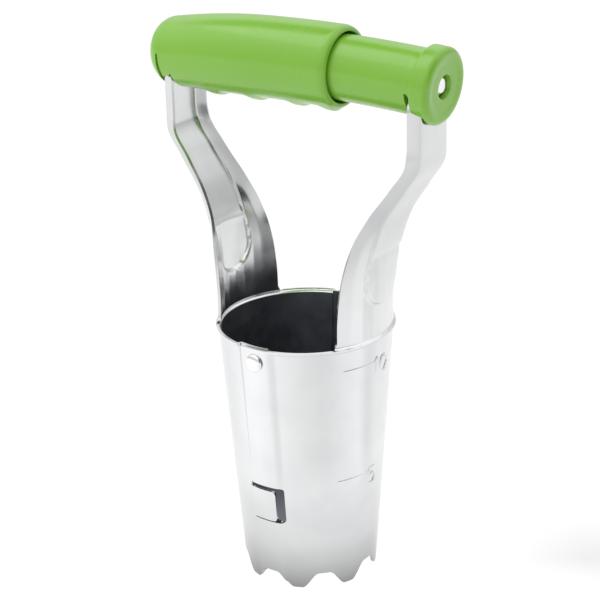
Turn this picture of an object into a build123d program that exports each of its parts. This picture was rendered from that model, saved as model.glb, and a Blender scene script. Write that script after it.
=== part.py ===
from build123d import *
from math import cos, hypot, radians, sin, sqrt
import os

# Hand transplanter. Millimetres, +Z up, teeth tips at z = 0, soil cylinder's axis on Z,
# handle along X. The left jaw is at -X, the right jaw at +X, the pivots at -Y and +Y.

# ---- Sheet metal ----
SHEET = 1.1
CONE_R_TIP = 28.0
CONE_R_RIM = 36.0
RIM_Z = 110.0
BEAD_OUT = 1.0
BEAD_HIGH = 1.5

# ---- Overlap of the two jaws, the same at the front and at the back ----
SEAM_X = 6.5
STRIP_GAP = 0.55
FLAP_DENT = 0.5
FLAP_END_X = 5.2
STEP_START_X = -7.9
BEAD_END_X = -9.0

# ---- Window in the right jaw's strip, and the left jaw's tab inside it ----
WINDOW_LOW = 31.0
WINDOW_HIGH = 47.5
WINDOW_END_X = 8.0
WINDOW_CORNER = 1.5
TAB_LOW = 32.0
TAB_HIGH = 46.0
TAB_END_X = 5.8

# ---- Teeth ----
TOOTH_COUNT = 8
NOTCH_HIGH = 6.8
NOTCH_HALF_TOP = 4.6
NOTCH_HALF_TIP = 7.4
NOTCH_CORNER = 3.0

# ---- Jaw pivots ----
PIVOT_Z = 104.0
RIVET_R = 2.4
RIVET_HOLE_R = 2.45
RIVET_HEAD_R = 3.7
RIVET_HEAD_HIGH = 1.5
RIVET_PLAY = 0.4
RIVET_WASHER_R = 4.0
RIVET_WASHER_THICK = 0.8

# ---- Arms ----
ARM_WEB_X = 60.5
ARM_HALF = 8.5
ARM_FLANGE = 6.4
ARM_TOP_Z = 221.5
ARM_ROD_HOLE_R = 2.7

# ---- Handle: both grips follow one shallow arch, and the rod runs straight between its ends ----
ARCH_R = 740.0
ARCH_Z = 217.9
ROD_Z = 215.5
OUTER_PROFILE = (
    (-68.6, 6.0),
    (-68.1, 8.4),
    (-66.9, 10.6),
    (-64.8, 12.3),
    (-62.0, 13.4),
    (-58.0, 14.3),
    (-51.0, 15.1),
    (-41.0, 15.7),
    (-28.0, 16.1),
    (-14.0, 16.2),
    (4.0, 16.2),
    (17.5, 16.1),
    (19.4, 15.6),
    (20.8, 14.9),
    (21.5, 14.15),
)
OUTER_BORE_R = 13.75
OUTER_BORE_END_X = -47.0
INNER_R = 12.75
INNER_END_X = -20.0
INNER_FLANGE_X = 56.9
INNER_RIGHT_X = 63.6
INNER_FLANGE_R = 14.3
INNER_BORE_R = 9.0
INNER_BORE_END_X = 47.0
BUMP_XS = (-39.0, -19.0, 1.5, 17.0)
BUMP_R = 7.0
BUMP_REACH = 17.3
SLOT_ROOM = 1.7
SAW_CUT_HALF = 1.0
SAW_CUT_HALF_LOW = 2.4
SAW_CUT_LOW_Z = 200.0

# ---- Rod, nut, spring ----
ROD_R = 2.0
ROD_HOLE_R = 2.5
ROD_HEAD_R = 3.7
ROD_HEAD_THICK = 2.2
ROD_PASS_R = 3.2
END_HOLE_R = 4.6
ROD_LEFT_X = -65.5
NUT_ACROSS = 7.0
NUT_THICK = 3.2
NUT_ROOM = 0.15
NUT_BACK = 0.8
SPRING_R = 5.0
SPRING_WIRE_R = 0.7
SPRING_TURNS = 16
SEAT_WASHER_R = 6.5
SEAT_WASHER_THICK = 1.0

FAR = 80.0


def wall_radius(z):
    """Outer radius of the soil cylinder's plain wall at height z."""
    return CONE_R_TIP + (CONE_R_RIM - CONE_R_TIP) * z / RIM_Z


def block(x_low, x_high, y_low, y_high, z_low, z_high):
    """A box between two corners."""
    size = Box(x_high - x_low, y_high - y_low, z_high - z_low, align=(Align.MIN, Align.MIN, Align.MIN))
    return Pos(x_low, y_low, z_low) * size


def on_wall(offset, x, side, z):
    """A point at an offset from the plain wall's radius, at a given X, on the front (-1) or back (1) side."""
    r = wall_radius(z) + offset
    return (x, side * sqrt(r * r - x * x), z)


def ruled_wall(corners, apex, z_low=0.0, z_high=RIM_Z):
    """A conical wall of one section: arcs join corners of equal offset, and straight lines join the others.

    Each corner is (offset, x, side). An arc that changes side passes over the apex, 1 for +X or -1 for -X.
    """
    sections = []
    for z in (z_low, z_high):
        edges = []
        for start, end in zip(corners, corners[1:] + corners[:1]):
            a = on_wall(*start, z)
            b = on_wall(*end, z)
            if start[0] != end[0]:
                edges.append(Line(a, b))
            elif start[2] == end[2]:
                edges.append(ThreePointArc(a, on_wall(start[0], (start[1] + end[1]) / 2, start[2], z), b))
            else:
                edges.append(ThreePointArc(a, (apex * (wall_radius(z) + start[0]), 0, z), b))
        sections.append(make_face(edges))
    return loft(sections, ruled=True)


def tooth_notches():
    """The rounded gaps between the teeth, as radial cutters."""
    outline = Polyline(
        (-NOTCH_HALF_TIP, -1.0),
        (NOTCH_HALF_TIP, -1.0),
        (NOTCH_HALF_TIP, 0.0),
        (NOTCH_HALF_TOP, NOTCH_HIGH),
        (-NOTCH_HALF_TOP, NOTCH_HIGH),
        (-NOTCH_HALF_TIP, 0.0),
        close=True,
    )
    face = make_face(outline)
    corners = face.vertices().filter_by(lambda v: v.Y > NOTCH_HIGH - 0.1)
    cutter = extrude(Plane.YZ * fillet(corners, NOTCH_CORNER), FAR)
    step = 360 / TOOTH_COUNT
    return [Rot(0, 0, step * k) * cutter for k in range(TOOTH_COUNT)]


def offset_inwards(points, thickness, stretch):
    """Moves an open outline by the sheet's thickness to its left, with mitred corners."""
    normals = []
    for (xa, ya), (xb, yb) in zip(points, points[1:]):
        length = hypot(xb - xa, yb - ya)
        normals.append((-(yb - ya) / length, (xb - xa) / length))
    moved = []
    for i, (x, y) in enumerate(points):
        before = normals[max(i - 1, 0)]
        after = normals[min(i, len(normals) - 1)]
        mid = (before[0] + after[0], before[1] + after[1])
        size = hypot(*mid)
        mid = (mid[0] / size, mid[1] / size)
        reach = thickness / (mid[0] * after[0] + mid[1] * after[1])
        moved.append((x + mid[0] * reach * stretch, y + mid[1] * reach))
    return moved


def arm_stations():
    """The right arm's outer surface at rising heights: z, then web, corner, border and edge points (x, y)."""
    base = []
    for z in (PIVOT_Z + 1, RIM_Z):
        r = wall_radius(z) - 0.05
        base.append((z, *[(r * cos(radians(a)), r * sin(radians(a))) for a in (0, 9, 18, 27, 36)]))
    shaped = [
        (118.0, (36.8, 0), (36.5, 5.5), (35.3, 10.4), (32.8, 15.6), (29.3, 20.6)),
        (130.0, (37.8, 0), (37.7, 4.8), (36.8, 9.4), (34.2, 14.5), (30.4, 19.4)),
        (142.0, (38.7, 0), (38.6, 4.4), (38.1, 8.8), (35.6, 13.0), (31.6, 17.4)),
        (151.0, (39.9, 0), (39.8, 4.3), (39.5, 8.6), (37.4, 11.9), (34.2, 15.2)),
        (162.5, (45.1, 0), (45.1, 4.3), (45.0, 8.5), (43.2, 10.5), (40.6, 12.4)),
        (175.0, (53.6, 0), (53.6, 4.3), (53.5, 8.5), (51.3, 9.4), (48.4, 10.2)),
        (187.0, (60.3, 0), (60.3, 4.3), (60.3, 8.5), (57.2, 8.7), (53.9, 8.9)),
    ]
    edge_x = ARM_WEB_X - ARM_FLANGE
    top = ((ARM_WEB_X, 0), (ARM_WEB_X, 4.3), (ARM_WEB_X, ARM_HALF), (57.3, ARM_HALF), (edge_x, ARM_HALF))
    return base + shaped + [(194.0, *top), (ARM_TOP_Z, *top)]


def arm():
    """The right arm: a channel that opens out and flattens into the cylinder's wall."""
    stations = arm_stations()
    sections = []
    for i, (z, *half) in enumerate(stations):
        low = stations[max(i - 1, 0)]
        high = stations[min(i + 1, len(stations) - 1)]
        slope = (high[1][0] - low[1][0]) / (high[0] - low[0])
        outer = [(x, -y) for x, y in reversed(half[1:])] + half
        inner = offset_inwards(outer, SHEET, sqrt(1 + slope * slope))
        loop = Polyline(*[(x, y, z) for x, y in outer + inner[::-1]], close=True)
        sections.append(make_face(loop))
    channel = loft(sections, ruled=True)
    hole = Pos(ARM_WEB_X, 0, ROD_Z) * Rot(0, 90, 0) * Cylinder(ARM_ROD_HOLE_R, 8)
    return channel - hole


def rivet_holes():
    """One bar through both pivots."""
    return Pos(0, 0, PIVOT_Z) * Rot(90, 0, 0) * Cylinder(RIVET_HOLE_R, 2 * FAR)


def cut(solid, cutters):
    """Takes several cutters away, one after another."""
    for cutter in cutters:
        solid = solid - cutter
    return solid


def right_jaw():
    """The outer half shell, its raised strips over both seams, its window and its arm."""
    strip_in = STRIP_GAP
    strip_out = STRIP_GAP + SHEET
    step_end = SEAM_X + SHEET
    outside = [(strip_out, -SEAM_X), (strip_out, step_end), (0, step_end)]
    inside = [(-SHEET, SEAM_X), (strip_in, SEAM_X), (strip_in, -SEAM_X)]
    corners = [(o, x, -1) for o, x in outside] + [(o, x, 1) for o, x in reversed(outside)]
    corners += [(o, x, 1) for o, x in reversed(inside)] + [(o, x, -1) for o, x in inside]
    jaw = ruled_wall(corners, 1)
    bead = [(BEAD_OUT, step_end + 1, -1), (BEAD_OUT, step_end + 1, 1), (-SHEET / 2, step_end + 1, 1)]
    bead.append((-SHEET / 2, step_end + 1, -1))
    jaw += ruled_wall(bead, 1, RIM_Z - BEAD_HIGH)
    jaw += arm()
    jaw = cut(jaw, tooth_notches())
    outline = Pos((WINDOW_END_X - 10) / 2, (WINDOW_LOW + WINDOW_HIGH) / 2) * RectangleRounded(
        WINDOW_END_X + 10, WINDOW_HIGH - WINDOW_LOW, WINDOW_CORNER
    )
    jaw -= extrude(Plane.XZ * outline, FAR)
    return jaw - rivet_holes()


def left_jaw():
    """The inner half shell, its sunk flaps under the strips, its raised tab and its arm."""
    flap_in = -SHEET - FLAP_DENT
    step_end = STEP_START_X + SHEET
    outside = [(-FLAP_DENT, FLAP_END_X), (-FLAP_DENT, step_end), (0, step_end)]
    inside = [(-SHEET, STEP_START_X), (flap_in, STEP_START_X), (flap_in, FLAP_END_X)]
    corners = [(o, x, -1) for o, x in outside] + [(o, x, 1) for o, x in reversed(outside)]
    corners += [(o, x, 1) for o, x in reversed(inside)] + [(o, x, -1) for o, x in inside]
    jaw = ruled_wall(corners, -1)
    bead = [(BEAD_OUT, BEAD_END_X, -1), (BEAD_OUT, BEAD_END_X, 1), (-SHEET / 2, BEAD_END_X, 1)]
    bead.append((-SHEET / 2, BEAD_END_X, -1))
    jaw += ruled_wall(bead, -1, RIM_Z - BEAD_HIGH)
    jaw += mirror(arm(), Plane.YZ)
    jaw = cut(jaw, tooth_notches())
    jaw -= block(step_end, FAR, -FAR, 0, WINDOW_LOW, WINDOW_HIGH)
    tab_out = SHEET + 0.2
    tab = [(0.2, step_end), (0.2, TAB_END_X), (tab_out, TAB_END_X), (tab_out, STEP_START_X)]
    tab += [(flap_in, STEP_START_X), (flap_in, step_end)]
    jaw += ruled_wall([(o, x, -1) for o, x in tab], 1, TAB_LOW, TAB_HIGH)
    return jaw - rivet_holes()


def rivet():
    """Front rivet: shank, low domed head outside, upset end inside."""
    out_y = wall_radius(PIVOT_Z) + STRIP_GAP + SHEET + RIVET_PLAY
    in_y = wall_radius(PIVOT_Z) - FLAP_DENT - SHEET - RIVET_WASHER_THICK - 2 * RIVET_PLAY
    outline = Polyline(
        (0, in_y - 1.2),
        (RIVET_HEAD_R - 1.0, in_y - 1.2),
        (RIVET_HEAD_R - 0.5, in_y - 0.5),
        (RIVET_HEAD_R - 0.5, in_y),
        (RIVET_R, in_y),
        (RIVET_R, out_y),
        (RIVET_HEAD_R, out_y),
        (RIVET_HEAD_R, out_y + 0.4),
        (RIVET_HEAD_R * 0.75, out_y + RIVET_HEAD_HIGH * 0.8),
        (RIVET_HEAD_R * 0.3, out_y + RIVET_HEAD_HIGH),
        (0, out_y + RIVET_HEAD_HIGH),
        close=True,
    )
    return Pos(0, 0, PIVOT_Z) * Rot(0, 0, 180) * revolve(make_face(outline), Axis.Y, 360)


def rivet_washer():
    """Front washer between the left flap and the rivet's upset end."""
    out_y = wall_radius(PIVOT_Z) - FLAP_DENT - SHEET - RIVET_PLAY
    ring = Cylinder(RIVET_WASHER_R, RIVET_WASHER_THICK) - Cylinder(RIVET_R, 4)
    return Pos(0, -(out_y - RIVET_WASHER_THICK / 2), PIVOT_Z) * Rot(90, 0, 0) * ring


def arch_plane(x):
    """The plane square to the handle's arch at distance x along it from the crown."""
    turn = x / ARCH_R
    origin = (ARCH_R * sin(turn), 0, ARCH_Z - ARCH_R * (1 - cos(turn)))
    return Plane(origin=origin, x_dir=(0, 1, 0), z_dir=(cos(turn), 0, -sin(turn)))


def arched_solid(profile):
    """A solid of round sections along the handle's arch, from (distance, radius) points."""
    return loft([arch_plane(x) * Circle(r) for x, r in profile], ruled=True)


def arched_bore(x_low, x_high, r):
    """A round bore along the handle's arch."""
    return arched_solid([(x_low + (x_high - x_low) * k / 6, r) for k in range(7)])


def bar_on_rod(x_low, x_high, r):
    """A plain bar on the rod's axis."""
    bar = Cylinder(r, x_high - x_low, align=(Align.CENTER, Align.CENTER, Align.MIN))
    return Pos(x_low, 0, ROD_Z) * Rot(0, 90, 0) * bar


def arm_slot(left_x, saw_x):
    """The mouth in a grip's underside for an arm's top: a pocket for the channel, and a wedge-shaped
    cut over the grip's whole width at the arm's web, both with room for the arm to rock."""
    length = ARM_FLANGE + 3 * SLOT_ROOM
    half = ARM_HALF + 0.5
    pocket = block(left_x, left_x + length, -half, half, SAW_CUT_LOW_Z, ARM_TOP_Z + SLOT_ROOM)
    wedge = Polyline(
        (saw_x - SAW_CUT_HALF, ROD_Z + 1),
        (saw_x + SAW_CUT_HALF, ROD_Z + 1),
        (saw_x + SAW_CUT_HALF_LOW, SAW_CUT_LOW_Z),
        (saw_x - SAW_CUT_HALF_LOW, SAW_CUT_LOW_Z),
        close=True,
    )
    return pocket + extrude(Plane.XZ * make_face(wedge), FAR, both=True)


def outer_grip():
    """The thick grip: rounded left end, finger bumps below, bored from the right."""
    body = arched_solid(OUTER_PROFILE)
    middle = arched_solid([(x, r - 1.0) for x, r in OUTER_PROFILE])
    for x in BUMP_XS:
        body += arch_plane(x) * Pos(0, BUMP_R - BUMP_REACH, 0) * Sphere(BUMP_R) - middle
    body -= arched_bore(OUTER_BORE_END_X, OUTER_PROFILE[-1][0] + 5, OUTER_BORE_R)
    body -= bar_on_rod(OUTER_BORE_END_X, OUTER_BORE_END_X + 2, SEAT_WASHER_R + 0.5)
    body -= bar_on_rod(ROD_LEFT_X - 0.5, OUTER_BORE_END_X + 1, ROD_HOLE_R)
    pocket = extrude(RegularPolygon(NUT_ACROSS / 2 + NUT_ROOM, 6, major_radius=False), NUT_THICK + NUT_ROOM)
    body -= Pos(ROD_LEFT_X + NUT_BACK, 0, ROD_Z) * Rot(0, 90, 0) * pocket
    return body - arm_slot(-ARM_WEB_X - SLOT_ROOM, -ARM_WEB_X + SHEET / 2)


def inner_grip():
    """The thinner grip: a sleeve that slides in the outer grip, with a flange at its right end."""
    body = arched_solid(
        [
            (INNER_END_X, INNER_R - 0.5),
            (INNER_END_X + 1.0, INNER_R),
            (0, INNER_R),
            (20, INNER_R),
            (40, INNER_R),
            (INNER_FLANGE_X, INNER_R),
            (INNER_FLANGE_X + 0.3, INNER_FLANGE_R - 0.6),
            (INNER_FLANGE_X + 1.2, INNER_FLANGE_R),
            (INNER_RIGHT_X - 2.0, INNER_FLANGE_R),
            (INNER_RIGHT_X - 0.6, INNER_FLANGE_R - 0.7),
            (INNER_RIGHT_X, INNER_FLANGE_R - 2.0),
        ]
    )
    body -= arched_bore(INNER_END_X - 5, INNER_BORE_END_X, INNER_BORE_R)
    body -= bar_on_rod(INNER_BORE_END_X - 2, INNER_BORE_END_X, SEAT_WASHER_R + 0.5)
    body -= bar_on_rod(INNER_BORE_END_X - 1, ARM_WEB_X, ROD_PASS_R)
    body -= bar_on_rod(ARM_WEB_X, FAR, END_HOLE_R)
    return body - arm_slot(ARM_WEB_X - ARM_FLANGE - 2 * SLOT_ROOM, ARM_WEB_X - SHEET / 2)


def tie_rod():
    """The rod between the grips' ends: its head bears on the right arm's web."""
    head_x = ARM_WEB_X + 0.4
    head_end = head_x + ROD_HEAD_THICK
    profile = Polyline(
        (ROD_LEFT_X, 0),
        (ROD_LEFT_X, ROD_R - 0.4),
        (ROD_LEFT_X + 0.4, ROD_R),
        (head_x, ROD_R),
        (head_x, ROD_HEAD_R),
        (head_end - 0.8, ROD_HEAD_R),
        (head_end, ROD_HEAD_R - 1.0),
        (head_end, 0),
        close=True,
    )
    return Pos(0, 0, ROD_Z) * revolve(make_face(profile), Axis.X, 360)


def tie_rod_nut():
    """Hexagonal nut on the rod's left end."""
    blank = extrude(RegularPolygon(NUT_ACROSS / 2, 6, major_radius=False), NUT_THICK)
    placed = Pos(ROD_LEFT_X + NUT_BACK + NUT_ROOM / 2, 0, ROD_Z) * Rot(0, 90, 0) * blank
    return placed - Pos(ROD_LEFT_X, 0, ROD_Z) * Rot(0, 90, 0) * Cylinder(ROD_R, 20)


def seat_washer(x):
    """Spring seat with its left face at x."""
    ring = Cylinder(SEAT_WASHER_R, SEAT_WASHER_THICK, align=(Align.CENTER, Align.CENTER, Align.MIN))
    ring -= Cylinder(ROD_HOLE_R, 10)
    return Pos(x, 0, ROD_Z) * Rot(0, 90, 0) * ring


def return_spring():
    """Coil spring round the rod, between the two seat washers."""
    left = OUTER_BORE_END_X + SEAT_WASHER_THICK + SPRING_WIRE_R + 0.1
    right = INNER_BORE_END_X - SEAT_WASHER_THICK - SPRING_WIRE_R - 0.1
    length = right - left
    path = Helix(length / SPRING_TURNS, length, SPRING_R)
    wire = sweep(Plane(path @ 0, z_dir=path % 0) * Circle(SPRING_WIRE_R), path=path)
    return Pos(left, 0, ROD_Z) * Rot(0, 90, 0) * wire


def main():
    front_rivet = rivet()
    front_washer = rivet_washer()
    nodes = {
        "left_jaw": left_jaw(),
        "right_jaw": right_jaw(),
        "front_rivet": front_rivet,
        "rear_rivet": mirror(front_rivet, Plane.XZ),
        "front_rivet_washer": front_washer,
        "rear_rivet_washer": mirror(front_washer, Plane.XZ),
        "outer_grip": outer_grip(),
        "inner_grip": inner_grip(),
        "tie_rod": tie_rod(),
        "tie_rod_nut": tie_rod_nut(),
        "outer_spring_washer": seat_washer(OUTER_BORE_END_X),
        "inner_spring_washer": seat_washer(INNER_BORE_END_X - SEAT_WASHER_THICK),
        "return_spring": return_spring(),
    }
    os.makedirs("parts", exist_ok=True)
    for name, shape in nodes.items():
        export_step(shape, f"parts/{name}.step")


main()
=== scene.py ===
"""The looks of a hand transplanter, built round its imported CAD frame. Metres, +Z up, teeth tips at z = 0."""
from math import atan2, cos, degrees, hypot, pi, radians, sin, sqrt

import bmesh
import bpy
import numpy as np
from mathutils import Matrix, Vector

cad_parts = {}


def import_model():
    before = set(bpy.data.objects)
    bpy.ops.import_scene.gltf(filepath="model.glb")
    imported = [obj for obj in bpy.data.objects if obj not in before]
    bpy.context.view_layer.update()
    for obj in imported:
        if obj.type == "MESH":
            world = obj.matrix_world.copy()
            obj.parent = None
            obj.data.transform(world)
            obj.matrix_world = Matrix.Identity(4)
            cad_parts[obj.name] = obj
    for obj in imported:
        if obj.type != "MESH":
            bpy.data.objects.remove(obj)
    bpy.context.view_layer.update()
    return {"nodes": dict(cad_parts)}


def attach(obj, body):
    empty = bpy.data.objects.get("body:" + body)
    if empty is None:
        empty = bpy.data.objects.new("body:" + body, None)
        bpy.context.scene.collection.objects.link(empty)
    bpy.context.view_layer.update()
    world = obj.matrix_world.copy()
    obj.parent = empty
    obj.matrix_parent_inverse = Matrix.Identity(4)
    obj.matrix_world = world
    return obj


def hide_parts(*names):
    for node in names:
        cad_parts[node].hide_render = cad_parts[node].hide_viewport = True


MM = 0.001

# ---- Sheet metal, mm: close to the CAD jaws ----
SHEET = 1.1
TIP_R = 28.0
RIM_R = 36.0
RIM_Z = 110.0
BEAD_OUT = 0.95
BEAD_HIGH = 1.7
WALL_SIDE_DEG = 76.0
WALL_SIDE_COLUMNS = 27
SEAM_COLUMNS = 16
TEETH_ROWS_HIGH = 14.0
SEAM_X = 6.5
STRIP_OUT = 1.1
STRIP_EASE = 3.0
FLAP_DENT = 0.75
FLAP_END_X = 5.2
FLAP_EASE = 1.1
STEP_X = 8.6
FLAP_STEP_X = STEP_X + 0.3
WINDOW_LOW = 31.0
WINDOW_HIGH = 47.5
WINDOW_END_X = 8.0
TAB_LOW = 31.6
TAB_HIGH = 45.6
TAB_END_X = 4.7
TAB_START_X = -STEP_X - 0.6
TAB_LIFT = 1.3
TAB_CORNER = 1.6
TAB_TRIM = 1.4
TOOTH_PITCH = 45.0
NOTCH_HIGH = 6.8
NOTCH_TOP_DEG = 4.5
NOTCH_TIP_DEG = 19.0
PIVOT_Z = 104.0
RIVET_R = 2.4
RIVET_HEAD_R = 3.7
RIVET_HEAD_EDGE = 0.35
RIVET_HEAD_DOME = 1.2
RIVET_HEAD_GAP = 0.3
RIVET_UPSET_R = 3.2
RIVET_UPSET_HIGH = 1.2
RIVET_WASHER_THICK = 0.8
RIVET_PLAY = 0.4
LINE_WIDE = 0.9
LINE_HIGH = 0.4
DIGIT_WIDE = 0.8
DIGIT_HIGH = 0.55

# ---- Arms, mm ----
ARM_TOP_Z = 221.5
ARM_BASE_DEG = 36.0
ARM_FILLET_DEG = 3.0
ARM_FILLET_HIGH = 3.0
ARM_COLUMNS = 128
# Rows of the arm as (first height, limit, spacing): the fillet, the panel, then the plain top.
ARM_ROWS = ((110.35, 113.0, 0.35), (113.4, 160.0, 0.6), (160.0, 221.0, 1.25))
PANEL_RAISE = 1.35
PANEL_HALF = 11.3
PANEL_FOOT_Z = 124.8
PANEL_FOOT_FLAT = 0.95
PANEL_EDGE = 1.1
PANEL_FADE_Z = 150.0
PANEL_FADE_HIGH = 14.0
DISH_DEEP = 0.55
DISH_MID_Z = 135.0
DISH_HALF = 9.6
DISH_HALF_HIGH = 10.5
CREASE_DEEP = 0.5
CREASE_Z = 146.0
CREASE_HIGH = 1.6
BEND_R = 0.6
# Height up to which the inner faces take the darker steel, painted shade inside the tube, mm.
INNER_SHADE_TOP_Z = 109.0

# ---- Handle, mm ----
ARCH_R = 740.0
ARCH_Z = 217.9
ROD_Z = 215.5
OUTER_LEFT_X = -69.1
OUTER_MOUTH_X = 21.5
OUTER_LIP_R = 3.6
OUTER_MOUTH_R = 14.3
OUTER_BORE_R = 13.75
OUTER_BORE_END_X = -47.0
BARREL_R = 14.3
BARREL_SWELL = 1.9
BARREL_SWELL_LONG = 44.0
DOME_LONG = 11.0
DOME_POWER = 2.3
BUMP_XS = (-39.0, -19.0, 1.5, 17.0)
BUMP_HIGH = 1.55
BUMP_HALF = 4.6
BUMP_SPREAD_DEG = 38.0
VALLEY_DEEP = 0.35
VALLEY_SPREAD_DEG = 60.0
INNER_R = 12.75
INNER_BORE_R = 9.0
INNER_BORE_END_X = 47.0
INNER_LEFT_X = -20.0
INNER_RIGHT_X = 65.0
FLANGE_X = 57.2
FLANGE_R = 14.8
FLANGE_ROUND = 2.4
FACE_DEEP = 0.45
FACE_R = 8.4
END_HOLE_R = 4.6
SAW_CUT_HALF = 0.5
SAW_CUT_HALF_LOW = 1.6
SLOT_LOW_Z = 196.0
SLOT_STEP_Z = 214.0
SLOT_WEB_HALF = 10.9
SLOT_EDGE_HALF = 12.9
ARM_HALF = 8.5
ARM_WEB_X = 60.5
SLOT_INNER_X = 54.2
SLOT_OUTER_X = 61.6

# ---- Stage: metres, lens in mm, power in watts ----
CAMERA_TARGET = (-0.0027, 0, 0.1179)
CAMERA_AZIMUTH_DEG = 34.72
CAMERA_ELEVATION_DEG = 21.21
CAMERA_ROLL_DEG = -1.47
CAMERA_DISTANCE = 0.676
CAMERA_LENS = 98.9
KEY_POWER = 3.5
SKY_STRENGTH = 1.2
# Brightness by the height of the direction, from the horizon up to overhead.
SKY_TONES = ((0.0, 0.5), (0.25, 0.62), (0.6, 0.95), (1.0, 1.0))
# Dark patches in the sky: direction, the cosine from it where the patch starts to darken, and its tone.
SKY_FLAGS = (
    ((0.91, -0.17, 0.38), 0.86, 0.05),
    ((-0.53, 0.30, 0.79), 0.955, 0.10),
)
FLAG_SOFT = 0.035
FLOOR_STRENGTH = 1.25
FLOOR_WHITE = 0.82
FLOOR_WHITE_R = 0.085
# Brightness by azimuth in degrees from +X. The camera stands at -55, so 125 is the floor behind the object.
FLOOR_TONES = (
    (-180, 0.84),
    (-150, 0.92),
    (-125, 0.95),
    (-95, 0.86),
    (-60, 0.74),
    (-35, 0.70),
    (-5, 0.82),
    (15, 0.88),
    (30, 0.70),
    (48, 0.82),
    (180, 0.82),
)

# Steel's painted shade: a grey tone by height above the teeth's tips, darker near the teeth and a little
# darker again up the arms.
STEEL_PAINTED_SHADE = (
    (0.0, 0.36),
    (0.009, 0.6),
    (0.022, 0.86),
    (0.05, 1.0),
    (0.118, 1.0),
    (0.165, 0.82),
    (0.21, 0.9),
)


def smooth(t):
    """Eases 0..1, clamped."""
    t = min(max(t, 0.0), 1.0)
    return t * t * (3 - 2 * t)


def lerp(a, b, t):
    return a + (b - a) * t


def wall_radius(z):
    """Outer radius of the plain wall, mm."""
    return TIP_R + (RIM_R - TIP_R) * z / RIM_Z


def tooth_edge(angle):
    """Height of the wall's lower edge at a world angle in degrees."""
    from_notch = abs((angle + TOOTH_PITCH / 2) % TOOTH_PITCH - TOOTH_PITCH / 2)
    return NOTCH_HIGH * (1 - smooth((from_notch - NOTCH_TOP_DEG) / (NOTCH_TIP_DEG - NOTCH_TOP_DEG)))


# ---------------------------------------------------------------- mesh helpers

def new_object(name, verts, faces, scale=MM):
    mesh = bpy.data.meshes.new(name)
    mesh.from_pydata([Vector(v) * scale for v in verts], [], faces)
    mesh.update()
    obj = bpy.data.objects.new(name, mesh)
    bpy.context.scene.collection.objects.link(obj)
    return obj


def apply_modifiers(obj):
    """Bakes an object's modifiers into its mesh."""
    graph = bpy.context.evaluated_depsgraph_get()
    baked = bpy.data.meshes.new_from_object(obj.evaluated_get(graph))
    old = obj.data
    obj.modifiers.clear()
    obj.data = baked
    bpy.data.meshes.remove(old)


def cut(obj, cutter):
    """Boolean difference; the cutter is removed."""
    mod = obj.modifiers.new("cut", "BOOLEAN")
    mod.operation = "DIFFERENCE"
    mod.solver = "EXACT"
    mod.object = cutter
    apply_modifiers(obj)
    bpy.data.objects.remove(cutter)


def shade(obj, angle=32):
    obj.data.shade_smooth()
    obj.data.set_sharp_from_angle(angle=radians(angle))


def join(target, *others):
    """Adds other objects' meshes to the target's."""
    bm = bmesh.new()
    bm.from_mesh(target.data)
    for other in others:
        bm.from_mesh(other.data)
        bpy.data.objects.remove(other)
    bm.to_mesh(target.data)
    bm.free()


def grid_faces(rows, width):
    """Quads between the rows of a grid of vertices, each row width vertices long."""
    faces = []
    for i in range(rows - 1):
        for j in range(width - 1):
            a = i * width + j
            faces.append((a, a + 1, a + width + 1, a + width))
    return faces


def rounded_rectangle(low_x, high_x, low_z, high_z, corner):
    """An outline with round corners, as (x, z) points."""
    outline = []
    for cx, cz, start in (
        (high_x - corner, high_z - corner, 0),
        (low_x + corner, high_z - corner, 90),
        (low_x + corner, low_z + corner, 180),
        (high_x - corner, low_z + corner, 270),
    ):
        for k in range(7):
            a = radians(start + 15 * k)
            outline.append((cx + corner * cos(a), cz + corner * sin(a)))
    return outline


def prism(name, outline, axis, low, high):
    """An outline pulled along an axis: in XZ and pulled along Y, or in XY and pulled along Z."""
    n = len(outline)
    if axis == "Y":
        verts = [(a, along, b) for along in (low, high) for a, b in outline]
    else:
        verts = [(a, b, along) for along in (low, high) for a, b in outline]
    faces = [(i, (i + 1) % n, n + (i + 1) % n, n + i) for i in range(n)]
    faces += [tuple(range(n))[::-1], tuple(range(n, 2 * n))]
    obj = new_object(name, verts, faces)
    fix_normals(obj)
    return obj


def fix_normals(obj):
    bm = bmesh.new()
    bm.from_mesh(obj.data)
    bmesh.ops.recalc_face_normals(bm, faces=bm.faces)
    bm.to_mesh(obj.data)
    bm.free()


def lathe(name, profile, segments=96, axis="X", centre=(0, 0, 0)):
    """A closed solid of revolution from (along, radius) points; points on the axis become one vertex."""
    verts, rings = [], []
    for along, r in profile:
        ring = []
        count = 1 if r < 1e-6 else segments
        for k in range(count):
            a = 2 * pi * k / segments
            across = (r * cos(a), r * sin(a))
            local = (along, *across) if axis == "X" else (across[0], along, across[1])
            ring.append(len(verts))
            verts.append(tuple(c + v for c, v in zip(centre, local)))
        rings.append(ring)
    faces = []
    loop = rings if profile[0][1] < 1e-6 and profile[-1][1] < 1e-6 else rings + rings[:1]
    for low, high in zip(loop, loop[1:]):
        for k in range(segments):
            n = k + 1
            quad = [low[k % len(low)], low[n % len(low)], high[n % len(high)], high[k % len(high)]]
            corners = list(dict.fromkeys(quad))
            if len(corners) > 2:
                faces.append(tuple(corners))
    obj = new_object(name, verts, faces)
    fix_normals(obj)
    return obj


def arc_points(centre, radius, start, end, steps):
    """Points of an arc in a (along, radius) profile, angles in degrees."""
    return [
        (centre[0] + radius * cos(radians(a)), centre[1] + radius * sin(radians(a)))
        for a in np.linspace(start, end, steps)
    ]


# ---------------------------------------------------------------- jaws

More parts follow.
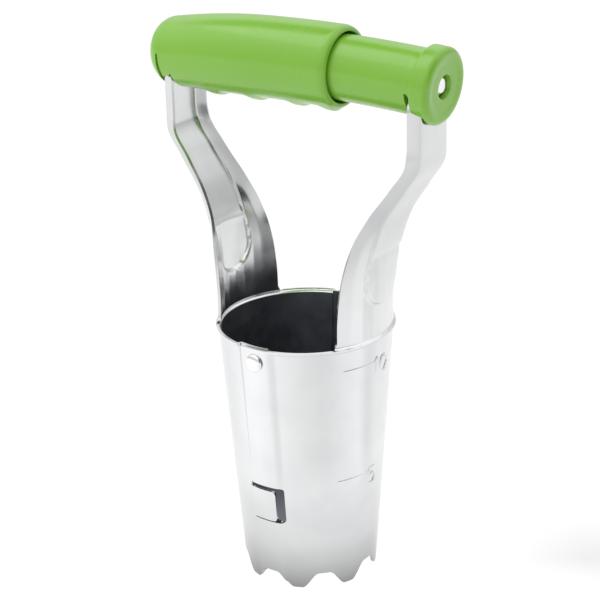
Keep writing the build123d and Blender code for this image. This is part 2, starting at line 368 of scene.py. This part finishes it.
def arm_stations():
    """Half sections of the arm's base surface: height, then centre, web, border and edge points (x, y)."""
    stations = []
    for z in (98.0, RIM_Z):
        r = RIM_R
        angles = (0, 9, 18, 27, ARM_BASE_DEG)
        stations.append((z, [(r * cos(radians(a)), r * sin(radians(a))) for a in angles]))
    stations += [
        (118.0, [(36.1, 0), (35.7, 5.6), (34.4, 11.2), (32.4, 15.6), (29.0, 20.9)]),
        (130.0, [(36.6, 0), (36.2, 5.6), (35.0, 11.2), (33.0, 15.6), (29.8, 20.4)]),
        (140.0, [(37.3, 0), (37.0, 5.7), (36.1, 11.3), (34.2, 15.4), (31.2, 19.4)]),
        (151.0, [(39.6, 0), (39.5, 5.6), (39.1, 11.0), (36.8, 14.2), (33.5, 17.0)]),
        (162.5, [(45.1, 0), (45.1, 5.4), (44.9, 10.6), (42.2, 12.6), (39.0, 14.6)]),
        (175.0, [(53.4, 0), (53.4, 5.2), (53.2, 10.3), (50.6, 11.6), (47.6, 12.9)]),
        (186.5, [(60.0, 0), (60.0, 5.0), (59.9, 10.0), (57.4, 11.2), (54.6, 12.2)]),
    ]
    below_grip = [(60.3, 0), (60.3, 4.8), (60.2, 9.6), (57.8, 10.6), (55.0, 11.5)]
    in_grip = [(ARM_WEB_X, 0), (ARM_WEB_X, 4.3), (ARM_WEB_X, 8.5), (57.3, 8.5), (54.1, 8.5)]
    return stations + [(193.0, below_grip), (207.0, below_grip), (213.0, in_grip), (ARM_TOP_Z, in_grip)]


def cubic_rows(stations, heights):
    """Interpolates the stations' points in height with a monotone cubic."""
    zs = np.array([s[0] for s in stations])
    values = np.array([s[1] for s in stations], float).reshape(len(zs), -1)
    steps = np.diff(zs)[:, None]
    slopes = np.diff(values, axis=0) / steps
    tangents = np.zeros_like(values)
    tangents[1:-1] = np.where(
        slopes[:-1] * slopes[1:] > 0,
        2 * slopes[:-1] * slopes[1:] / (slopes[:-1] + slopes[1:] + 1e-12),
        0,
    )
    rows = []
    for z in heights:
        k = int(np.clip(np.searchsorted(zs, z, "right") - 1, 0, len(zs) - 2))
        h = zs[k + 1] - zs[k]
        t = (z - zs[k]) / h
        basis = (2 * t**3 - 3 * t**2 + 1, (t**3 - 2 * t**2 + t) * h, 3 * t**2 - 2 * t**3, (t**3 - t**2) * h)
        row = basis[0] * values[k] + basis[1] * tangents[k]
        row += basis[2] * values[k + 1] + basis[3] * tangents[k + 1]
        rows.append(row.reshape(-1, 2))
    return rows


def rounded_section(half, columns):
    """Points along a section through the half's corners and their mirror images, its bends rounded."""
    whole = np.array([(x, -y) for x, y in half[:0:-1]] + [tuple(p) for p in half])
    lengths = np.concatenate([[0], np.cumsum(np.hypot(*np.diff(whole, axis=0).T))])
    fine = np.linspace(0, lengths[-1], 600)
    dense = np.stack([np.interp(fine, lengths, whole[:, i]) for i in (0, 1)], axis=1)
    spread = BEND_R / (fine[1] - fine[0])
    reach = int(4 * spread)
    kernel = np.exp(-0.5 * (np.arange(-reach, reach + 1) / spread) ** 2)
    kernel /= kernel.sum()
    first = dense[0] * 2 - dense[reach:0:-1]
    last = dense[-1] * 2 - dense[-2:-reach - 2:-1]
    padded = np.concatenate([first, dense, last])
    soft = np.stack([np.convolve(padded[:, i], kernel, "valid") for i in (0, 1)], axis=1)
    picks = np.linspace(0, len(fine) - 1, columns + 1)
    return np.stack([np.interp(picks, np.arange(len(fine)), soft[:, i]) for i in (0, 1)], axis=1)


def panel_raise(y, z):
    """How far the pressed panel stands out of the arm's border at a place, mm."""
    foot = PANEL_FOOT_Z + PANEL_HALF
    reach = hypot(y, min(z - foot, 0.0) * PANEL_FOOT_FLAT)
    inside = smooth((PANEL_HALF + 0.1 - reach) / PANEL_EDGE)
    fade = 1 - smooth((z - PANEL_FADE_Z) / PANEL_FADE_HIGH)
    dish = smooth(1.25 - hypot(y / DISH_HALF, (z - DISH_MID_Z) / DISH_HALF_HIGH)) * DISH_DEEP
    crease = CREASE_DEEP * np.exp(-(((z - CREASE_Z) / CREASE_HIGH) ** 2))
    return inside * (PANEL_RAISE * fade + dish - crease * fade)


def bead_out(z):
    """How far the rolled lip stands out of the wall near the rim, mm."""
    up = smooth((z - (RIM_Z - BEAD_HIGH)) / (BEAD_HIGH * 0.55))
    down = 1 - smooth((z - RIM_Z - 0.1) / 0.9)
    return BEAD_OUT * up * down


def wall_columns():
    """Angles of the wall's columns, in degrees from the middle of the arm."""
    half = ARM_BASE_DEG + ARM_FILLET_DEG
    middle = list(np.linspace(-half, half, ARM_COLUMNS + 1))
    side = list(np.linspace(half, WALL_SIDE_DEG, WALL_SIDE_COLUMNS))[1:]
    return [-a for a in reversed(side)] + middle + side


def wall_place(column, z, over):
    """Angle from the arm's middle, and radius, of a column at a height.
    over is true for the jaw whose seam strips lie outside the other's flaps."""
    kind, sign, value = column
    r = wall_radius(z)
    if kind == "wall":
        return radians(value), r + bead_out(z)
    if over:
        end_x, step, step_from, ease = -SEAM_X, STRIP_OUT, STEP_X, STRIP_EASE
    else:
        end_x, step, step_from, ease = -FLAP_END_X, -FLAP_DENT, FLAP_STEP_X, FLAP_EASE
    x = lerp(r * cos(radians(WALL_SIDE_DEG)), end_x, value)
    rise = step * smooth((step_from - x) / ease)
    if over:
        lip = max(0.0, bead_out(z) - rise)
    else:
        lip = bead_out(z) * smooth((x - step_from + 0.5) / 1.5)
    radius = r + rise + lip
    return sign * atan2(sqrt(radius * radius - x * x), x), radius


def arm_row(z, half, side):
    """Points of one row of the arm, from its half section; near the rim the row spreads into a fillet."""
    spread = 1 + ARM_FILLET_DEG / ARM_BASE_DEG * max(0.0, 1 - (z - RIM_Z) / ARM_FILLET_HIGH) ** 2
    points = []
    for x, y in rounded_section(half, ARM_COLUMNS):
        if spread > 1:
            a = atan2(y, x) * spread
            r = hypot(x, y)
            x, y = r * cos(a), r * sin(a)
        out = panel_raise(y, z) + bead_out(z)
        a = atan2(y, x) if z < PANEL_FADE_Z else 0.0
        points.append((side * (x + out * cos(a)), y + out * sin(a), z))
    return points


def jaw_surface(name, side):
    """One jaw's outer surface: side is 1 for the right jaw and -1 for the left one, which mirrors it in X."""
    over = side > 0
    angles = wall_columns()
    columns = [("seam", -1, k / SEAM_COLUMNS) for k in range(SEAM_COLUMNS, 0, -1)]
    columns += [("wall", 0, a) for a in angles]
    columns += [("seam", 1, k / SEAM_COLUMNS) for k in range(1, SEAM_COLUMNS + 1)]

    low_rows = np.linspace(0, 1, 11)[:-1] * TEETH_ROWS_HIGH
    high_rows = np.linspace(TEETH_ROWS_HIGH, RIM_Z - BEAD_HIGH - 0.4, 34)
    lip_rows = np.linspace(RIM_Z - BEAD_HIGH, RIM_Z, 7)
    rows = [*low_rows, *high_rows, *lip_rows]
    verts = []
    for z_row in rows:
        for column in columns:
            angle, _ = wall_place(column, NOTCH_HIGH + 0.2, over)
            world = degrees(angle) if over else 180 - degrees(angle)
            edge = tooth_edge(world) * max(0.0, 1 - z_row / TEETH_ROWS_HIGH) ** 1.5
            z = z_row + edge
            angle, radius = wall_place(column, z, over)
            verts.append((side * radius * cos(angle), radius * sin(angle), z))
    faces = grid_faces(len(rows), len(columns))

    top_row = (len(rows) - 1) * len(columns)
    first = top_row + SEAM_COLUMNS + angles.index(-(ARM_BASE_DEG + ARM_FILLET_DEG))
    below = list(range(first, first + ARM_COLUMNS + 1))
    heights = [z for low, limit, step in ARM_ROWS for z in np.arange(low, limit, step)]
    heights.append(ARM_TOP_Z)
    for z, half in zip(heights, cubic_rows(arm_stations(), heights)):
        row = list(range(len(verts), len(verts) + ARM_COLUMNS + 1))
        verts += arm_row(z, half, side)
        for k in range(ARM_COLUMNS):
            faces.append((below[k], below[k + 1], row[k + 1], row[k]))
        below = row
    return new_object(name, verts, faces)


def thicken(obj):
    """Gives a surface the sheet's thickness, inwards; inner faces below the rim get the second material, a
    darker steel that paints the shade inside the tube.
    """
    bm = bmesh.new()
    bm.from_mesh(obj.data)
    bm.normal_update()
    bm.faces.ensure_lookup_table()
    probe = bm.faces[len(bm.faces) // 4]
    centre = probe.calc_center_median()
    if probe.normal.dot(Vector((centre.x, centre.y, 0))) < 0:
        bmesh.ops.reverse_faces(bm, faces=bm.faces)
    bm.to_mesh(obj.data)
    bm.free()
    mod = obj.modifiers.new("sheet", "SOLIDIFY")
    mod.thickness = SHEET * MM
    mod.offset = -1
    mod.use_even_offset = True
    mod.material_offset = 1
    mod.material_offset_rim = 0
    apply_modifiers(obj)
    # Only the inner faces below this height keep the darker steel, painted shade inside the tube.
    for face in obj.data.polygons:
        if face.material_index and face.center.z > INNER_SHADE_TOP_Z * MM:
            face.material_index = 0


def build_right_jaw(steel, inside):
    jaw = jaw_surface("right_jaw_sheet", 1)
    jaw.data.materials.append(steel)
    jaw.data.materials.append(inside)
    thicken(jaw)
    window = rounded_rectangle(-12, WINDOW_END_X, WINDOW_LOW, WINDOW_HIGH, 1.8)
    cut(jaw, prism("window_cut", window, "Y", -50, -20))
    marks = depth_marks()
    for mark in marks:
        mark.data.materials.append(steel)
    join(jaw, *marks)
    shade(jaw)
    return jaw


def build_left_jaw(steel, inside):
    jaw = jaw_surface("left_jaw_sheet", -1)
    jaw.data.materials.append(steel)
    jaw.data.materials.append(inside)
    thicken(jaw)
    opening = rounded_rectangle(-STEP_X + 0.6, 12, WINDOW_LOW, WINDOW_HIGH, 0.8)
    cut(jaw, prism("tab_cut", opening, "Y", -50, -20))
    tab = window_tab()
    tab.data.materials.append(steel)
    join(jaw, tab)
    shade(jaw)
    return jaw


def window_tab():
    """The left jaw's raised tab, which lies in the right jaw's window."""
    columns = np.linspace(TAB_START_X, TAB_END_X, 28)
    rows = np.linspace(0, 1, 15)
    verts = []
    for t in rows:
        for x in columns:
            near_end = max(0.0, x - (TAB_END_X - TAB_CORNER)) / TAB_CORNER
            trim = TAB_TRIM * (1 - sqrt(max(0.0, 1 - near_end**2)))
            z = lerp(TAB_LOW + trim, TAB_HIGH - trim, t)
            r = wall_radius(z) + TAB_LIFT * smooth((x - TAB_START_X) / 2.2)
            verts.append((x, -sqrt(r * r - x * x), z))
    tab = new_object("tab", verts, grid_faces(len(rows), len(columns)))
    thicken(tab)
    return tab


def rib(name, path, width, high):
    """A raised half-round line on the wall: path is (arc, z) points, arc in mm along the wall from +X."""
    points = []
    for (a0, z0), (a1, z1) in zip(path, path[1:]):
        count = max(2, int(hypot(a1 - a0, z1 - z0) / 0.5))
        points += [(lerp(a0, a1, k / count), lerp(z0, z1, k / count)) for k in range(count)]
    points.append(path[-1])
    last = len(points) - 1
    section = np.linspace(-1, 1, 7)
    verts = []
    for i, (arc, z) in enumerate(points):
        before = points[max(i - 1, 0)]
        after = points[min(i + 1, last)]
        size = hypot(after[0] - before[0], after[1] - before[1])
        across = (-(after[1] - before[1]) / size, (after[0] - before[0]) / size)
        taper = sqrt(max(0.0, 1 - (1 - min(i, last - i, 2) / 2) ** 2 * 0.75))
        for t in section:
            s = arc + across[0] * t * width / 2 * taper
            h = z + across[1] * t * width / 2 * taper
            r = wall_radius(h)
            out = r + high * taper * sqrt(max(0.0, 1 - t * t)) - 0.05
            verts.append((out * cos(s / r), out * sin(s / r), h))
    w = len(section)
    ends = [tuple(range(w)), tuple(range(last * w, len(points) * w))]
    obj = new_object(name, verts, grid_faces(len(points), w) + ends)
    fix_normals(obj)
    return obj


def depth_marks():
    """Embossed depth lines 5 and 10 cm above the tips, each with its number."""
    marks = []
    for z in (50.0, 100.0):
        marks.append(rib("depth_line", [(-19.3, z), (-3.2, z)], LINE_WIDE, LINE_HIGH))
    ring = [(2.7 * cos(a), 3.6 * sin(a)) for a in np.linspace(0, 2 * pi, 25)]
    marks.append(rib("depth_one", [(-2.9, 99.9), (-1.6, 101.5), (-1.6, 94.6)], DIGIT_WIDE, DIGIT_HIGH))
    marks.append(rib("depth_zero", [(3.7 + x, 97.4 + z) for x, z in ring], DIGIT_WIDE, DIGIT_HIGH))
    hook = [(-0.6 + 2.4 * sin(a), 46.3 + 2.3 * cos(a)) for a in np.linspace(-0.9, 3.9, 19)]
    five = [(1.5, 51.3), (-2.3, 51.3), (-2.6, 47.6), *hook]
    marks.append(rib("depth_five", five, DIGIT_WIDE, DIGIT_HIGH))
    return marks


# ---------------------------------------------------------------- handle

def arched(obj):
    """Bends a piece built about the X axis to the handle's arch."""
    for v in obj.data.vertices:
        turn = v.co.x / MM / ARCH_R
        out = ARCH_R + v.co.z / MM
        v.co.x = out * sin(turn) * MM
        v.co.z = (ARCH_Z - ARCH_R + out * cos(turn)) * MM
    obj.data.update()


def cut_arm_slot(grip, side):
    """The channel-shaped slot for an arm's top in a grip's underside, with a deeper pocket over it."""
    inner, outer = side * SLOT_INNER_X, side * SLOT_OUTER_X
    channel = [
        (inner, -SLOT_EDGE_HALF),
        (outer, -SLOT_WEB_HALF),
        (outer, SLOT_WEB_HALF),
        (inner, SLOT_EDGE_HALF),
    ]
    cut(grip, prism("slot", channel, "Z", SLOT_LOW_Z, SLOT_STEP_Z))
    half = ARM_HALF + 0.5
    pocket = [(inner, -half), (outer, -half), (outer, half), (inner, half)]
    cut(grip, prism("pocket", pocket, "Z", SLOT_STEP_Z - 1, ARM_TOP_Z + 1.5))


def barrel_radius(x):
    """The outer grip's plain radius along the handle, mm."""
    along = x - OUTER_LEFT_X
    if along < DOME_LONG:
        return BARREL_R * sqrt(1 - (1 - along / DOME_LONG) ** DOME_POWER)
    t = min((along - DOME_LONG) / BARREL_SWELL_LONG, 1.0)
    return BARREL_R + BARREL_SWELL * (1 - (1 - t) ** 2)


def finger_bump(x, angle):
    """Extra radius of the small finger bumps on the underside; angle 0 points straight down."""
    across = smooth(1 - abs(angle) / radians(BUMP_SPREAD_DEG))
    bumps = sum(smooth(1.25 - abs(x - centre) / BUMP_HALF) for centre in BUMP_XS)
    valley = smooth(1 - abs(angle) / radians(VALLEY_SPREAD_DEG))
    return across * bumps * BUMP_HIGH - valley * VALLEY_DEEP


def ringed_solid(name, profile, segments, shift):
    """A closed solid of rings from (x, radius) points, between two end points on the axis.
    shift(x, r, angle) is added to a ring's radius, and angle 0 points down."""
    verts = [(profile[0][0], 0, 0)]
    faces = []
    for x, r in profile:
        for k in range(segments):
            angle = 2 * pi * k / segments
            down = (angle + pi) % (2 * pi) - pi
            radius = r + shift(x, r, down)
            verts.append((x, radius * sin(angle), -radius * cos(angle)))
    tail = len(verts)
    verts.append((profile[-1][0], 0, 0))
    for k in range(segments):
        n = (k + 1) % segments
        last = tail - segments
        faces.append((0, 1 + n, 1 + k))
        faces.append((tail, last + k, last + n))
        for i in range(len(profile) - 1):
            low = 1 + i * segments
            faces.append((low + k, low + n, low + segments + n, low + segments + k))
    obj = new_object(name, verts, faces)
    fix_normals(obj)
    return obj


def build_outer_grip(plastic):
    """The thick grip: rounded left end, finger bumps, rolled mouth, hollow from the right."""
    stations = list(OUTER_LEFT_X + DOME_LONG * (1 - np.cos(np.linspace(0.04, pi / 2, 22))))
    lip_x = OUTER_MOUTH_X - OUTER_LIP_R
    stations += list(np.linspace(OUTER_LEFT_X + DOME_LONG + 1, lip_x, 110))
    profile = [(x, barrel_radius(x)) for x in stations]
    across = barrel_radius(lip_x) - OUTER_MOUTH_R
    for a in np.linspace(0, pi / 2, 12)[1:]:
        profile.append((lip_x + OUTER_LIP_R * sin(a), OUTER_MOUTH_R + across * cos(a)))
    edge = OUTER_MOUTH_R - OUTER_BORE_R
    for a in np.linspace(0, pi / 2, 5)[1:]:
        profile.append((OUTER_MOUTH_X - 0.5 * (1 - cos(a)), OUTER_MOUTH_R - edge * sin(a)))
    profile += [(x, OUTER_BORE_R) for x in np.linspace(OUTER_MOUTH_X - 2, OUTER_BORE_END_X, 14)]

    def bumps(x, r, down):
        """The finger bumps, faded out at both ends and kept off the dome, the mouth and the bore."""
        if r <= BARREL_R:
            return 0.0
        return finger_bump(x, down) * smooth((x + 60) / 10) * smooth((OUTER_MOUTH_X - 1.0 - x) / 3)

    grip = ringed_solid("outer_grip_moulding", profile, 160, bumps)
    arched(grip)
    cut_arm_slot(grip, -1)
    saw_x = -ARM_WEB_X + SHEET / 2
    wedge = [(saw_x - SAW_CUT_HALF_LOW, SLOT_LOW_Z), (saw_x + SAW_CUT_HALF_LOW, SLOT_LOW_Z)]
    wedge += [(saw_x + SAW_CUT_HALF, ROD_Z + 1.5), (saw_x - SAW_CUT_HALF, ROD_Z + 1.5)]
    cut(grip, prism("saw_cut", wedge, "Y", -30, 30))
    grip.data.materials.clear()
    grip.data.materials.append(plastic)
    shade(grip, 40)
    return grip


def build_inner_grip(plastic):
    """The thinner sleeve, its end flange and its dished end with the recessed hole."""
    right = INNER_RIGHT_X
    profile = [(INNER_LEFT_X, INNER_BORE_R), (INNER_LEFT_X, INNER_R - 0.5), (INNER_LEFT_X + 0.5, INNER_R)]
    profile += [(x, INNER_R) for x in np.linspace(-18, FLANGE_X - 1.0, 26)]
    profile += arc_points((FLANGE_X - 1.0, INNER_R + 0.7), 0.7, -90, -10, 5)
    profile += arc_points((FLANGE_X + 1.0, FLANGE_R - 1.0), 1.0, 165, 90, 6)
    profile += arc_points((right - FLANGE_ROUND, FLANGE_R - FLANGE_ROUND), FLANGE_ROUND, 90, 4, 12)
    for t in np.linspace(0.1, 1, 7):
        profile.append((right - FACE_DEEP * smooth(t), lerp(FLANGE_R - 2.6, FACE_R, t)))
    profile += arc_points((right - FACE_DEEP - 0.4, END_HOLE_R + 0.4), 0.4, 0, -90, 5)
    profile += [(x, END_HOLE_R) for x in (61.0, 54.0, INNER_BORE_END_X)]
    profile.append((INNER_BORE_END_X, INNER_BORE_R))
    profile += [(x, INNER_BORE_R) for x in np.linspace(40, -14, 8)]
    grip = lathe("inner_grip_moulding", profile, 144)
    arched(grip)
    cut_arm_slot(grip, 1)
    grip.data.materials.clear()
    grip.data.materials.append(plastic)
    shade(grip, 40)
    return grip


def build_rivet(name, back, metal):
    """A low domed rivet with its upset end inside the cylinder."""
    out_y = wall_radius(PIVOT_Z) + STRIP_OUT + RIVET_HEAD_GAP
    in_y = wall_radius(PIVOT_Z) - FLAP_DENT - SHEET - RIVET_WASHER_THICK - 2 * RIVET_PLAY
    end_y = in_y - RIVET_UPSET_HIGH
    profile = [(end_y, 0), (end_y, RIVET_R), (in_y - 0.6, RIVET_UPSET_R - 0.1), (in_y, RIVET_UPSET_R)]
    profile += [(in_y, RIVET_R), (out_y, RIVET_R), (out_y, RIVET_HEAD_R - 0.05)]
    dome_y = out_y + RIVET_HEAD_EDGE
    for a in np.linspace(0, pi / 2, 10)[:-1]:
        profile.append((dome_y + RIVET_HEAD_DOME * sin(a), RIVET_HEAD_R * cos(a)))
    profile.append((dome_y + RIVET_HEAD_DOME, 0))
    rivet = lathe(name, profile, 48, "Y", (0, 0, PIVOT_Z))
    if not back:
        for v in rivet.data.vertices:
            v.co.y = -v.co.y
        fix_normals(rivet)
    rivet.data.materials.append(metal)
    shade(rivet, 40)
    return rivet


# ---------------------------------------------------------------- materials

def node_material(name):
    mat = bpy.data.materials.new(name)
    mat.use_nodes = True
    tree = mat.node_tree
    return mat, tree, tree.nodes["Principled BSDF"]


def noise_node(tree, scale, detail, stretch=(1, 1, 1)):
    """Object-space noise, stretched along an axis by a small factor there."""
    coords = tree.nodes.new("ShaderNodeTexCoord")
    mapping = tree.nodes.new("ShaderNodeMapping")
    mapping.inputs["Scale"].default_value = stretch
    noise_tex = tree.nodes.new("ShaderNodeTexNoise")
    noise_tex.inputs["Scale"].default_value = scale
    noise_tex.inputs["Detail"].default_value = detail
    tree.links.new(coords.outputs["Object"], mapping.inputs["Vector"])
    tree.links.new(mapping.outputs["Vector"], noise_tex.inputs["Vector"])
    return noise_tex.outputs["Fac"]


def ramp(tree, source, stops):
    node = tree.nodes.new("ShaderNodeValToRGB")
    elements = node.color_ramp.elements
    elements[0].position, elements[0].color = stops[0][0], stops[0][1]
    elements[1].position, elements[1].color = stops[-1][0], stops[-1][1]
    for position, colour in stops[1:-1]:
        element = elements.new(position)
        element.color = colour
    tree.links.new(source, node.inputs["Fac"])
    return node.outputs["Color"]


def grey(v):
    return (v, v, v, 1)


def add_bump(tree, shader, source, strength, distance):
    bump = tree.nodes.new("ShaderNodeBump")
    bump.inputs["Strength"].default_value = strength
    bump.inputs["Distance"].default_value = distance
    tree.links.new(source, bump.inputs["Height"])
    tree.links.new(bump.outputs["Normal"], shader.inputs["Normal"])


def painted_height_shade(tree, stops):
    """Painted shade: a grey tone by height above the teeth's tips, from (metres, grey) stops."""
    coords = tree.nodes.new("ShaderNodeTexCoord")
    split = tree.nodes.new("ShaderNodeSeparateXYZ")
    tree.links.new(coords.outputs["Object"], split.inputs["Vector"])
    return ramp(tree, split.outputs["Z"], [(z, grey(v)) for z, v in stops])


def multiply(tree, first, second):
    mix = tree.nodes.new("ShaderNodeMix")
    mix.data_type = "RGBA"
    mix.blend_type = "MULTIPLY"
    mix.inputs["Factor"].default_value = 1.0
    tree.links.new(first, mix.inputs["A"])
    tree.links.new(second, mix.inputs["B"])
    return mix.outputs["Result"]


def steel_material(name, light, dark, rough_low, rough_high, wave=0.2, painted_shade=None):
    """Zinc-coated steel: cloudy tone, soft waves from pressing, and painted shade as a grey tone by height if
    given.
    """
    mat, tree, shader = node_material(name)
    shader.inputs["Metallic"].default_value = 1.0
    colour = ramp(tree, noise_node(tree, 45, 3), [(0.3, dark), (0.7, light)])
    # Painted shade: the base colour is multiplied by a grey that darkens towards the teeth.
    if painted_shade:
        colour = multiply(tree, colour, painted_height_shade(tree, painted_shade))
    tree.links.new(colour, shader.inputs["Base Color"])
    patches = noise_node(tree, 160, 4)
    rough = ramp(tree, patches, [(0.3, grey(rough_low)), (0.7, grey(rough_high))])
    tree.links.new(rough, shader.inputs["Roughness"])
    waves = noise_node(tree, 26, 2)
    add_bump(tree, shader, waves, wave, 0.0010)
    return mat


def plastic_material(name, base, deep):
    """Semi-gloss moulded plastic: faint flow variation, fine grain, soft scuffs."""
    mat, tree, shader = node_material(name)
    flow = noise_node(tree, 35, 3, (0.4, 1, 1))
    tree.links.new(ramp(tree, flow, [(0.25, deep), (0.75, base)]), shader.inputs["Base Color"])
    scuffs = noise_node(tree, 110, 2)
    rough = ramp(tree, scuffs, [(0.3, grey(0.20)), (0.75, grey(0.30))])
    tree.links.new(rough, shader.inputs["Roughness"])
    shader.inputs["Specular IOR Level"].default_value = 0.5
    shader.inputs["Coat Weight"].default_value = 0.25
    shader.inputs["Coat Roughness"].default_value = 0.12
    grain = noise_node(tree, 700, 2)
    add_bump(tree, shader, grain, 0.03, 0.0001)
    return mat


# ---------------------------------------------------------------- stage

def stage_floor():
    """A lit floor: one white tone round the object, and a brightness that varies by azimuth further out."""
    size = 6.0
    corners = [(-size, -size, 0), (size, -size, 0), (size, size, 0), (-size, size, 0)]
    floor = new_object("floor", corners, [(0, 1, 2, 3)], 1.0)
    mat, tree, shader = node_material("floor_white")
    shader.inputs["Base Color"].default_value = grey(0.0)
    shader.inputs["Specular IOR Level"].default_value = 0.0
    shader.inputs["Emission Strength"].default_value = FLOOR_STRENGTH
    coords = tree.nodes.new("ShaderNodeTexCoord")
    split = tree.nodes.new("ShaderNodeSeparateXYZ")
    tree.links.new(coords.outputs["Object"], split.inputs["Vector"])
    around = tree.nodes.new("ShaderNodeMath")
    around.operation = "ARCTAN2"
    tree.links.new(split.outputs["Y"], around.inputs[0])
    tree.links.new(split.outputs["X"], around.inputs[1])
    turn = tree.nodes.new("ShaderNodeMapRange")
    turn.inputs["From Min"].default_value = -pi
    turn.inputs["From Max"].default_value = pi
    tree.links.new(around.outputs["Value"], turn.inputs["Value"])
    stops = [((degree + 180) / 360, grey(v)) for degree, v in FLOOR_TONES]
    tone = ramp(tree, turn.outputs["Result"], stops)
    reach = tree.nodes.new("ShaderNodeVectorMath")
    reach.operation = "LENGTH"
    tree.links.new(coords.outputs["Object"], reach.inputs[0])
    far = tree.nodes.new("ShaderNodeMapRange")
    far.inputs["From Min"].default_value = FLOOR_WHITE_R
    far.inputs["From Max"].default_value = FLOOR_WHITE_R * 1.4
    tree.links.new(reach.outputs["Value"], far.inputs["Value"])
    mix = tree.nodes.new("ShaderNodeMix")
    mix.data_type = "RGBA"
    mix.inputs["A"].default_value = grey(FLOOR_WHITE)
    tree.links.new(far.outputs["Result"], mix.inputs["Factor"])
    tree.links.new(tone, mix.inputs["B"])
    tree.links.new(mix.outputs["Result"], shader.inputs["Emission Color"])
    floor.data.materials.append(mat)


def stage_world():
    """A soft sky: brightest overhead, greyer towards the horizon, with dark patches for steel to reflect."""
    world = bpy.data.worlds.new("studio")
    world.use_nodes = True
    tree = world.node_tree
    background = tree.nodes["Background"]
    coords = tree.nodes.new("ShaderNodeTexCoord")
    split = tree.nodes.new("ShaderNodeSeparateXYZ")
    tree.links.new(coords.outputs["Generated"], split.inputs["Vector"])
    sky = ramp(tree, split.outputs["Z"], [(height, grey(v)) for height, v in SKY_TONES])
    for direction, edge, tone in SKY_FLAGS:
        flag = tree.nodes.new("ShaderNodeVectorMath")
        flag.operation = "DOT_PRODUCT"
        flag.inputs[1].default_value = Vector(direction).normalized()
        tree.links.new(coords.outputs["Generated"], flag.inputs[0])
        stops = [(0.0, grey(1)), (edge, grey(1)), (edge + FLAG_SOFT, grey(tone))]
        sky = multiply(tree, sky, ramp(tree, flag.outputs["Value"], stops))
    tree.links.new(sky, background.inputs["Color"])
    background.inputs["Strength"].default_value = SKY_STRENGTH
    bpy.context.scene.world = world


def area_light(name, place, target, size, power):
    data = bpy.data.lights.new(name, "AREA")
    data.shape = "RECTANGLE"
    data.size, data.size_y = size
    data.energy = power
    light = bpy.data.objects.new(name, data)
    light.location = place
    light.rotation_euler = (Vector(target) - Vector(place)).to_track_quat("-Z", "Y").to_euler()
    bpy.context.scene.collection.objects.link(light)


def stage_camera():
    """The view: azimuth, elevation, distance and roll about a target near the object's axis."""
    azimuth = radians(CAMERA_AZIMUTH_DEG)
    elevation = radians(CAMERA_ELEVATION_DEG)
    roll = radians(CAMERA_ROLL_DEG)
    back = Vector((sin(azimuth) * cos(elevation), -cos(azimuth) * cos(elevation), sin(elevation)))
    right = (-back).cross(Vector((0, 0, 1))).normalized()
    up = right.cross(-back)
    turned_right = right * cos(roll) + up * sin(roll)
    turned_up = -right * sin(roll) + up * cos(roll)
    data = bpy.data.cameras.new("camera")
    data.sensor_width = 36.0
    data.lens = CAMERA_LENS
    data.clip_start = 0.01
    camera = bpy.data.objects.new("camera", data)
    turn = Matrix((turned_right, turned_up, back)).transposed().to_4x4()
    camera.matrix_world = Matrix.Translation(Vector(CAMERA_TARGET) + back * CAMERA_DISTANCE) @ turn
    bpy.context.scene.collection.objects.link(camera)
    bpy.context.scene.camera = camera


def main():
    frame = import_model()
    nodes = frame["nodes"]

    steel = steel_material(
        "satin_steel", (0.83, 0.835, 0.84, 1), (0.76, 0.765, 0.775, 1), 0.17, 0.25, painted_shade=STEEL_PAINTED_SHADE
    )
    # The tube's inside below the rim: a darker steel as painted shade.
    inside = steel_material("inner_steel_painted_shade", (0.22, 0.235, 0.26, 1), (0.15, 0.16, 0.18, 1), 0.38, 0.5)
    plated = steel_material("bright_plated", (0.93, 0.93, 0.94, 1), (0.85, 0.85, 0.86, 1), 0.10, 0.22, 0.1)
    wire = steel_material("spring_wire", (0.5, 0.5, 0.52, 1), (0.35, 0.35, 0.37, 1), 0.3, 0.45, 0.1)
    green = plastic_material("green_plastic", (0.23, 0.52, 0.045, 1), (0.205, 0.48, 0.036, 1))

    pieces = [
        (build_right_jaw(steel, inside), "right_jaw", "right_jaw", "steel"),
        (build_left_jaw(steel, inside), "left_jaw", "left_jaw", "steel"),
        (build_outer_grip(green), "outer_grip", "outer_grip", "green_plastic"),
        (build_inner_grip(green), "inner_grip", "inner_grip", "green_plastic"),
        (build_rivet("front_rivet_dome", False, plated), "left_jaw", "front_rivet", "rivet_steel"),
        (build_rivet("rear_rivet_dome", True, plated), "left_jaw", "rear_rivet", "rivet_steel"),
    ]
    for piece, body, node, slot in pieces:
        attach(piece, body)
        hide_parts(node)

    looks = {
        "front_rivet_washer": plated,
        "rear_rivet_washer": plated,
        "tie_rod": plated,
        "tie_rod_nut": plated,
        "outer_spring_washer": plated,
        "inner_spring_washer": plated,
        "return_spring": wire,
    }
    for name, material in looks.items():
        for entry in nodes[name].material_slots:
            entry.material = material

    stage_floor()
    stage_world()
    area_light("key", place=(-0.5, -0.2, 1.5), target=(0, 0, 0.15), size=(1.0, 1.0), power=KEY_POWER)
    bpy.context.scene.view_settings.view_transform = "Standard"
    stage_camera()


main()
